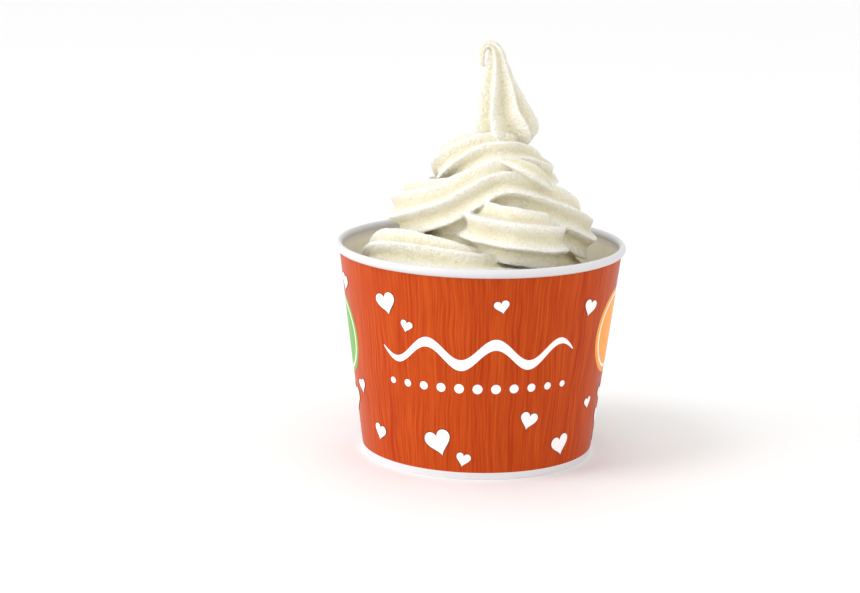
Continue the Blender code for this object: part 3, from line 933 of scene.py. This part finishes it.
def print_tree():
    """The tree that sets a motif out on flat layout points and wraps the sheet round the cone."""
    tree, given = new_tree("Print on the wall", Motif="Object", Lift="Float", Foot_Radius="Float",
                           Slope="Float", Middle_Radius="Float", Material="Material")
    motif = add(tree, "GeometryNodeObjectInfo", {"Object": given["Motif"]}).outputs["Geometry"]
    size, tilt = [add(tree, ATTRIBUTE, {"Name": name}, data_type="FLOAT") for name in ("size", "tilt")]
    turn = add(tree, "FunctionNodeEulerToRotation", (add(tree, JOIN, {2: tilt}),))
    scale = add(tree, JOIN, (size, size, 1.0))
    placed = add(tree, "GeometryNodeInstanceOnPoints", {"Points": given["Geometry"], "Instance": motif,
                                                        "Rotation": turn, "Scale": scale})
    real = add(tree, "GeometryNodeRealizeInstances", {"Geometry": placed})
    arc, height, level = add(tree, SPLIT, (add(tree, PLACE),)).outputs
    angle = add(tree, MATH, (arc, given["Middle Radius"]), operation="DIVIDE")
    layer = add(tree, MATH, (level,), operation="ROUND")
    lift = add(tree, MATH, (layer, given["Lift"]), operation="MULTIPLY")
    cone = add(tree, MATH, (height, given["Slope"], given["Foot Radius"]), operation="MULTIPLY_ADD")
    radius = add(tree, MATH, (cone, lift), operation="ADD")
    sine = add(tree, MATH, (angle,), operation="SINE")
    cosine = add(tree, MATH, (angle,), operation="COSINE")
    front = add(tree, MATH, (cosine, -1.0), operation="MULTIPLY")
    x = add(tree, MATH, (radius, sine), operation="MULTIPLY")
    y = add(tree, MATH, (radius, front), operation="MULTIPLY")
    formed = add(tree, MOVE, {"Geometry": real, "Position": add(tree, JOIN, (x, y, height))})
    return close_tree(tree, formed, given["Material"])


printing = print_tree()
ON_THE_WALL = {"Foot_Radius": FOOT_RADIUS, "Slope": WALL_SLOPE, "Middle_Radius": MIDDLE_RADIUS}


def printed(name, layout, motif, layers, material):
    """Print one motif in one ink at every layout point: angle in degrees, height, size and tilt."""
    rows = np.array(layout, dtype=float)
    arcs = np.radians(rows[:, 0]) * MIDDLE_RADIUS
    flat = np.column_stack((arcs, rows[:, 1] / 1000, np.zeros(len(rows))))
    obj = new_object(name, flat, size=rows[:, 2] / 1000, tilt=np.radians(rows[:, 3]))
    return grow(obj, printing, Motif=motif, Lift=INK * (1 + layers), Material=material, **ON_THE_WALL)


# %% [markdown]
# The front's hearts and all the discs are listed one by one: angle round the cup in degrees, then height,
# size and tilt, in millimetres and degrees. Further hearts are strewn over the hidden side, where each one
# keeps clear of its neighbours and of the lap seam.

# %% Set out hearts and discs
HEARTS = [
    (-41, 68, 9.0, 16), (-31, 60, 5.0, -14), (9, 70, 5.5, 12), (52, 66, 7.0, -16), (-52, 14, 7.0, -12),
    (-18, 15, 11.0, 18), (-6, 8.5, 6.0, -12), (24, 24, 7.5, -15), (43, 12, 9.0, 14), (61, 26, 5.0, 10),
    (-66, 30, 6.0, 14),
]
DISCS = {
    "green": [(-84, 48, 32, 0), (131, 30, 34, 0), (-152, 58, 24, 0)],
    "amber": [(80, 52, 34, 0), (-126, 33, 26, 0), (169, 34, 18, 0)],
    "lilac": [(103, 22, 20, 0), (-104, 15, 18, 0), (150, 62, 16, 0)],
}
SEAM_ANGLE = -173
SEAM_WIDTH = 0.007
SEAM_HEIGHTS = range(5, 80, 5)
HIDDEN_ANGLES = (72, 288)
STREWN_HEIGHTS = (9, 73)
STREWN_SIZES = (5, 11)
MOST_TILT = 22
TRIES = 4000
ARC_RADIUS = 50.4
CLEAR_SHARE = 0.56
CLEAR_GAP = 1.0
PRINT_EDGES = (5, 77)
EDGE_SHARE = 0.6
all_discs = [row for rows in DISCS.values() for row in rows]


def strewn_hearts(seed, count):
    """Further hearts round the hidden side, clear of the discs, the seam and one another."""
    rng = random.Random(seed)
    taken = [(a, z, s) for a, z, s, _ in HEARTS + all_discs]
    taken += [(SEAM_ANGLE, z, SEAM_WIDTH * 1000) for z in SEAM_HEIGHTS]
    added = []
    for _ in range(TRIES):
        angle, height, size = [rng.uniform(*ends) for ends in (HIDDEN_ANGLES, STREWN_HEIGHTS, STREWN_SIZES)]
        angle = angle - 360 if angle > 180 else angle
        clear = all(math.hypot(math.radians((angle - a + 180) % 360 - 180) * ARC_RADIUS, height - z)
                    > CLEAR_SHARE * (size + s) + CLEAR_GAP for a, z, s in taken)
        if clear and PRINT_EDGES[0] + EDGE_SHARE * size < height < PRINT_EDGES[1] - EDGE_SHARE * size:
            taken.append((angle, height, size))
            added.append((angle, height, size, rng.uniform(-MOST_TILT, MOST_TILT)))
        if len(added) == count:
            break
    return added


hearts = HEARTS + strewn_hearts(seed=7, count=22)
print("hearts:", len(hearts), "and discs:", len(all_discs))

# %% [markdown]
# The inks go on in the order a press would use: discs, white rings, disc middles, then the hearts with their
# thin dark border underneath. Each further layer is thicker by one film of ink.

# %% Print hearts and discs
disc_inks = {"green": ink_green, "amber": ink_amber, "lilac": ink_lilac}
inks = [printed("discs_" + name, rows, motifs["disc"], 1, disc_inks[name]) for name, rows in DISCS.items()]
inks.append(printed("disc_rings", all_discs, motifs["ring"], 2, ink_white))
inks += [printed("disc_middles_" + name, rows, motifs["disc_middle"], 3, disc_inks[name])
         for name, rows in DISCS.items()]
inks.append(printed("heart_borders", hearts, motifs["heart_border"], 4, ink_dark))
inks.append(printed("hearts", hearts, motifs["heart"], 5, ink_white))

# %% [markdown]
# The wall is one sheet, so its two ends overlap somewhere and are sealed together. On most cups this seam is
# at the back, away from the front of the print. It shows as a narrow upright strip with a fine step along
# each side, and the printed ground runs on over it.

# %% Lap seam at the back
SEAM_PROUD = 0.0003
SEAM_COLUMNS = 9


def lap_seam():
    """The sealed overlap of the wall's sheet: a flat strip up the back, a little proud of the wall."""
    across = np.linspace(-SEAM_WIDTH / 2, SEAM_WIDTH / 2, SEAM_COLUMNS)
    half = (PRINT_TOP - PRINT_BOTTOM) / 2
    outline = [(x, -half) for x in across] + [(x, half) for x in across[::-1]]
    strip = slab("seam sheet", outline, 1)
    middle = (math.radians(SEAM_ANGLE) * MIDDLE_RADIUS, PRINT_BOTTOM + half, 0.0)
    obj = new_object("lap_seam", [middle], size=np.array([1.0]), tilt=np.array([0.0]))
    grow(obj, printing, Motif=strip, Lift=SEAM_PROUD, Material=print_finish, **ON_THE_WALL)
    bpy.data.objects.remove(strip)
    return obj


seam = lap_seam()

# %% [markdown]
# Across the front runs a white band like a slow wave, which thins out to both ends, over a row of dots. The
# band follows a formula along the sheet, so it is drawn as its own slab, at its true size, and wrapped like
# a motif. Its layout size of 1000 mm leaves it as it is drawn.

# %% Wave line and dots
WAVE_SPAN = 44
WAVE_STEPS = 160
WAVE_HEIGHT = 0.0505
WAVE_RISE = 0.0042
WAVE_COUNT = 1.5
WAVE_HALF_WIDTH = 0.0022
WAVE_END_SHARE = 0.004
DOT_ANGLES = range(-40, 41, 8)
DOT_HEIGHT = 37.0
DOT_SIZE = 2.2
DOT_SWELL = 1.6


def wave_sheet():
    """A flat band that follows a wave and thins out towards both ends, as a closed slab."""
    points, faces = [], []
    for step in range(WAVE_STEPS + 1):
        part = 2 * step / WAVE_STEPS - 1
        x = math.radians(WAVE_SPAN * part) * MIDDLE_RADIUS
        middle = WAVE_HEIGHT + WAVE_RISE * math.sin(math.tau * WAVE_COUNT * part)
        half = WAVE_HALF_WIDTH * math.sqrt(max(WAVE_END_SHARE, 1 - part * part))
        for level in (1.0, 0.0):
            points += [(x, middle - half, level), (x, middle, level), (x, middle + half, level)]
    for step in range(WAVE_STEPS):
        a, b = 6 * step, 6 * step + 6
        for i in (0, 1):
            faces += [[a + i, b + i, b + i + 1, a + i + 1], [a + 4 + i, b + 4 + i, b + 3 + i, a + 3 + i]]
        faces += [[a + 3, b + 3, b, a], [a + 2, b + 2, b + 5, a + 5]]
    last = 6 * WAVE_STEPS
    faces += [[0, 1, 4, 3], [1, 2, 5, 4], [last + 3, last + 4, last + 1, last],
              [last + 4, last + 5, last + 2, last + 1]]
    return new_object("wave motif", points, faces=faces)


motifs["wave"] = wave_sheet()
dots = [(angle, DOT_HEIGHT, DOT_SIZE + DOT_SWELL * math.cos(math.radians(angle * 2)), 0)
        for angle in DOT_ANGLES]
inks.append(printed("wave_line", [(0, 0, 1000, 0)], motifs["wave"], 2, ink_white))
inks.append(printed("dots", dots, motifs["disc"], 2, ink_white))
for motif in motifs.values():
    bpy.data.objects.remove(motif)

# %% [markdown]
# ## Hand the pieces over
# Each finished piece is hung on the root body, and the CAD solid that it stands for is hidden.

# %% Pieces
for piece in (board, ground, seam, *inks):
    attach(piece, "root")
    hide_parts("cup_wall")
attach(bottom, "root")
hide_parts("cup_base")
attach(yogurt, "root")
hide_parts("yogurt_swirl")
for obj in (board, ground, bottom, yogurt):
    corners = np.array([vert.co[:] for vert in obj.data.vertices])
    print(obj.name, "box, mm:", np.round(1000 * corners.min(0), 1), np.round(1000 * corners.max(0), 1))

# %% [markdown]
# ## Camera, light and floor
# The camera looks down a little from far off, with a long lens, so the cup hardly tapers by perspective. Its
# small turns were found by fitting the cup's outline.

# %% Camera
CAMERA_DISTANCE = 0.9
TARGET = Vector((0.0, 0.0, 0.06))
ELEVATION, YAW, PITCH, ROLL = [math.radians(angle) for angle in (12.664, 1.245, 0.081, 1.191)]
LENS = 95.2
SENSOR_WIDTH = 36.0


def turned_pair(first, second, angle):
    """Turn two square directions by an angle in their own plane."""
    return (first * math.cos(angle) + second * math.sin(angle),
            second * math.cos(angle) - first * math.sin(angle))


def set_camera():
    """Aim the camera from the front, then turn, tip and roll it by small measured angles."""
    back = Vector((0.0, -math.cos(ELEVATION), math.sin(ELEVATION)))
    forward, right = -back, Vector((1.0, 0.0, 0.0))
    up = right.cross(forward)
    right, forward = turned_pair(right, forward, YAW)
    forward, up = turned_pair(forward, up, PITCH)
    right, up = turned_pair(right, up, ROLL)
    lens = bpy.data.cameras.new("camera")
    lens.lens = LENS
    lens.sensor_width = SENSOR_WIDTH
    camera = bpy.data.objects.new("camera", lens)
    matrix = Matrix((right, up, -forward)).transposed().to_4x4()
    matrix.translation = TARGET + back * CAMERA_DISTANCE
    camera.matrix_world = matrix
    bpy.context.scene.collection.objects.link(camera)
    bpy.context.scene.camera = camera
    return camera


print("camera at, m:", [round(part, 3) for part in set_camera().matrix_world.translation])

# %% [markdown]
# The light is soft, as in a white studio. A weak key from the upper left and a wide overhead glow model the
# ridges, a large panel at the left brightens that side, and two warm panels, at the front and the right, keep
# the shaded yogurt creamy. The sky is white and does most of the work.

# %% Lights
LIGHT_AIM = Vector((0.0, 0.0, 0.09))
WHITE = (1.0, 1.0, 1.0)
WARM = (1.0, 0.95, 0.82)


def area_light(name, place, size, power, colour):
    """A square soft light aimed at the swirl."""
    light = bpy.data.lights.new(name, "AREA")
    light.size = size
    light.energy = power
    light.color = colour
    obj = bpy.data.objects.new(name, light)
    obj.location = place
    obj.rotation_euler = (LIGHT_AIM - Vector(place)).to_track_quat("-Z", "Y").to_euler()
    bpy.context.scene.collection.objects.link(obj)


def sun_light(name, direction, spread_angle, power):
    """An even light from one direction; a wide angle makes it as soft as a large diffuser."""
    light = bpy.data.lights.new(name, "SUN")
    light.energy = power
    light.angle = math.radians(spread_angle)
    obj = bpy.data.objects.new(name, light)
    obj.rotation_euler = Vector(direction).to_track_quat("Z", "Y").to_euler()
    bpy.context.scene.collection.objects.link(obj)


sun_light("key", (-0.75, -0.35, 1.25), 20, 0.55)
sun_light("overhead", (-0.25, 0.10, 1.0), 100, 0.60)
area_light("side", (-1.05, -0.35, 0.30), 0.70, 6.5, WHITE)
area_light("front", (0.20, -1.30, 0.14), 0.90, 2.4, WARM)
area_light("right", (1.05, -0.60, 0.55), 0.90, 2.2, WARM)
print("lights:", len(bpy.data.lights))

# %% Sky and floor
SKY_STRENGTH = 0.86
FLOOR_GREY = 0.82
FLOOR_REACH = 6
world = bpy.data.worlds.new("sky")
bpy.context.scene.world = world
world.use_nodes = True
sky = world.node_tree.nodes["Background"]
fill(world.node_tree, sky, {"Color": (1.0, 1.0, 1.0, 1.0), "Strength": SKY_STRENGTH})
bpy.context.scene.view_settings.view_transform = "Standard"
floor_finish, floor_nodes, floor_shader = new_material("pale studio floor")
floor_colour = (FLOOR_GREY, FLOOR_GREY, FLOOR_GREY, 1.0)
fill(floor_nodes, floor_shader, {"Base Color": floor_colour, "Roughness": 0.7})
floor_corners = [(x * FLOOR_REACH, y * FLOOR_REACH, 0) for x, y in ((-1, -1), (1, -1), (1, 1), (-1, 1))]
floor = new_object("floor", floor_corners, faces=[(0, 1, 2, 3)])
floor.data.materials.append(floor_finish)
print("floor, m across:", 2 * FLOOR_REACH)
